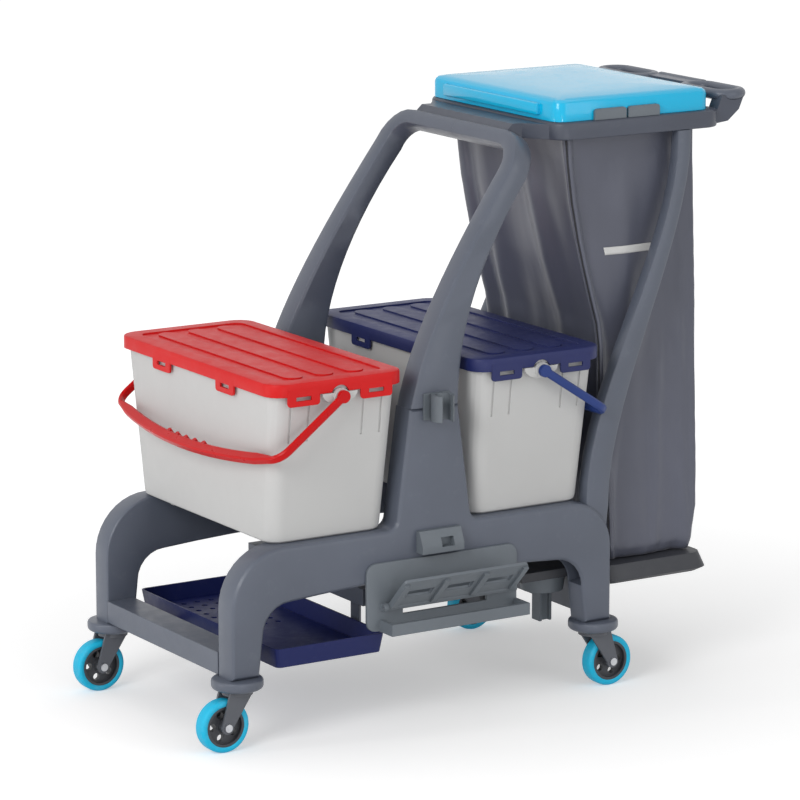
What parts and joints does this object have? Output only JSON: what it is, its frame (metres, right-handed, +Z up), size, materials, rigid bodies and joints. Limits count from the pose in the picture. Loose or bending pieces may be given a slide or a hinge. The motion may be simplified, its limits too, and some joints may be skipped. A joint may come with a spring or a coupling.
{
  "type": "janitor cart",
  "caption": "Janitor cart with moulded side frames and arch, lidded buckets, sliding mop tray, fold-out mop flap and a waste bag under a hinged lid.",
  "frame": {"origin": "middle of the cart's footprint, on the floor under the wheels", "axes": "+X to the push handle, +Y to the right side (away from the mop gear), +Z up"},
  "size_m": [1.0074, 0.5318, 0.9245],
  "materials": {
    "frame_plastic": "satin, finely textured moulding",
    "gear_plastic": "satin",
    "caster_plastic": "satin",
    "bucket_plastic": "satin",
    "red_plastic": "semi-gloss",
    "navy_plastic": "semi-gloss",
    "tray_plastic": "semi-gloss",
    "cyan_plastic": "gloss",
    "cyan_rubber": "matt",
    "vinyl": "coated cloth with a soft sheen",
    "zinc_steel": "zinc plated"
  },
  "bodies": {
    "cart": {"side_frame_left": "frame_plastic", "side_frame_right": "frame_plastic", "arch_left": "frame_plastic", "arch_right": "frame_plastic", "front_beam": "frame_plastic", "rear_beam": "frame_plastic", "centre_deck": "frame_plastic", "bag_base": "frame_plastic", "rear_upright_left": "frame_plastic", "rear_upright_right": "frame_plastic", "bag_holder": "frame_plastic", "push_handle": "frame_plastic", "tray_hanger_left": "frame_plastic", "tray_hanger_right": "frame_plastic", "bag_clips": "gear_plastic", "handle_clip": "gear_plastic", "mop_bracket": "gear_plastic", "flap_catch": "gear_plastic", "deck_spigot": "gear_plastic", "lid_hinge_pin": "zinc_steel", "waste_bag": "vinyl", "flap_pin": "zinc_steel", "beam_screws": "zinc_steel", "deck_screws": "zinc_steel", "base_screws": "zinc_steel", "arch_dowels": "zinc_steel", "front_left_bumper": "frame_plastic", "front_right_bumper": "frame_plastic", "rear_left_bumper": "frame_plastic", "rear_right_bumper": "frame_plastic"},
    "red_bucket_body": {"red_bucket": "bucket_plastic"},
    "red_lid_body": {"red_lid": "red_plastic"},
    "red_bail_body": {"red_bail": "red_plastic"},
    "blue_bucket_body": {"blue_bucket": "bucket_plastic"},
    "blue_lid_body": {"blue_lid": "navy_plastic"},
    "blue_bail_body": {"blue_bail": "navy_plastic"},
    "tray_body": {"mop_tray": "tray_plastic", "tray_grid": "tray_plastic"},
    "flap_body": {"mop_flap": "gear_plastic"},
    "lid_body": {"bag_lid": "cyan_plastic"},
    "front_left_swivel_body": {"front_left_fork": "caster_plastic", "front_left_axle": "zinc_steel"},
    "front_left_wheel_body": {"front_left_hub": "caster_plastic", "front_left_tyre": "cyan_rubber"},
    "front_right_swivel_body": {"front_right_fork": "caster_plastic", "front_right_axle": "zinc_steel"},
    "front_right_wheel_body": {"front_right_hub": "caster_plastic", "front_right_tyre": "cyan_rubber"},
    "rear_left_swivel_body": {"rear_left_fork": "caster_plastic", "rear_left_axle": "zinc_steel"},
    "rear_left_wheel_body": {"rear_left_hub": "caster_plastic", "rear_left_tyre": "cyan_rubber"},
    "rear_right_swivel_body": {"rear_right_fork": "caster_plastic", "rear_right_axle": "zinc_steel"},
    "rear_right_wheel_body": {"rear_right_hub": "caster_plastic", "rear_right_tyre": "cyan_rubber"}
  },
  "joints": [
    {"name": "front_left_swivel", "type": "hinge", "parent": "cart", "child": "front_left_swivel_body", "pos_m": [-0.43769, -0.18062, 0.1095], "axis": [0, 0, 1], "continuous": true},
    {"name": "front_left_wheel", "type": "hinge", "parent": "front_left_swivel_body", "child": "front_left_wheel_body", "pos_m": [-0.46369, -0.18062, 0.04], "axis": [0, 1, 0], "continuous": true},
    {"name": "front_right_swivel", "type": "hinge", "parent": "cart", "child": "front_right_swivel_body", "pos_m": [-0.43769, 0.20938, 0.1095], "axis": [0, 0, 1], "continuous": true},
    {"name": "front_right_wheel", "type": "hinge", "parent": "front_right_swivel_body", "child": "front_right_wheel_body", "pos_m": [-0.46369, 0.20938, 0.04], "axis": [0, 1, 0], "continuous": true},
    {"name": "rear_left_swivel", "type": "hinge", "parent": "cart", "child": "rear_left_swivel_body", "pos_m": [0.19831, -0.18062, 0.1095], "axis": [0, 0, 1], "continuous": true},
    {"name": "rear_left_wheel", "type": "hinge", "parent": "rear_left_swivel_body", "child": "rear_left_wheel_body", "pos_m": [0.22431, -0.18062, 0.04], "axis": [0, 1, 0], "continuous": true},
    {"name": "rear_right_swivel", "type": "hinge", "parent": "cart", "child": "rear_right_swivel_body", "pos_m": [0.19831, 0.20938, 0.1095], "axis": [0, 0, 1], "continuous": true},
    {"name": "rear_right_wheel", "type": "hinge", "parent": "rear_right_swivel_body", "child": "rear_right_wheel_body", "pos_m": [0.22431, 0.20938, 0.04], "axis": [0, 1, 0], "continuous": true},
    {"name": "red_bucket_lift", "type": "slide", "parent": "cart", "child": "red_bucket_body", "axis": [0, 0, 1], "range_m": [0, 0.25]},
    {"name": "red_lid_lift", "type": "slide", "parent": "red_bucket_body", "child": "red_lid_body", "axis": [0, 0, 1], "range_m": [0, 0.08]},
    {"name": "red_bail_swing", "type": "hinge", "parent": "red_bucket_body", "child": "red_bail_body", "pos_m": [-0.28469, 0.01438, 0.5246], "axis": [0, 1, 0], "range_deg": [0, 127]},
    {"name": "blue_bucket_lift", "type": "slide", "parent": "cart", "child": "blue_bucket_body", "axis": [0, 0, 1], "range_m": [0, 0.019]},
    {"name": "blue_lid_lift", "type": "slide", "parent": "blue_bucket_body", "child": "blue_lid_body", "axis": [0, 0, 1], "range_m": [0, 0.01]},
    {"name": "blue_bail_swing", "type": "hinge", "parent": "blue_bucket_body", "child": "blue_bail_body", "pos_m": [0.06931, 0.01438, 0.5246], "axis": [0, -1, 0], "range_deg": [0, 123]},
    {"name": "tray_slide", "type": "slide", "parent": "cart", "child": "tray_body", "axis": [0, -1, 0], "range_m": [0, 0.3]},
    {"name": "flap_fold", "type": "hinge", "parent": "cart", "child": "flap_body", "pos_m": [-0.08769, -0.21462, 0.1903], "axis": [-1, 0, 0], "range_deg": [0, 44]},
    {"name": "lid_open", "type": "hinge", "parent": "cart", "child": "lid_body", "pos_m": [0.43569, 0.01438, 0.90518], "axis": [0, 1, 0], "range_deg": [0, 95]}
  ]
}
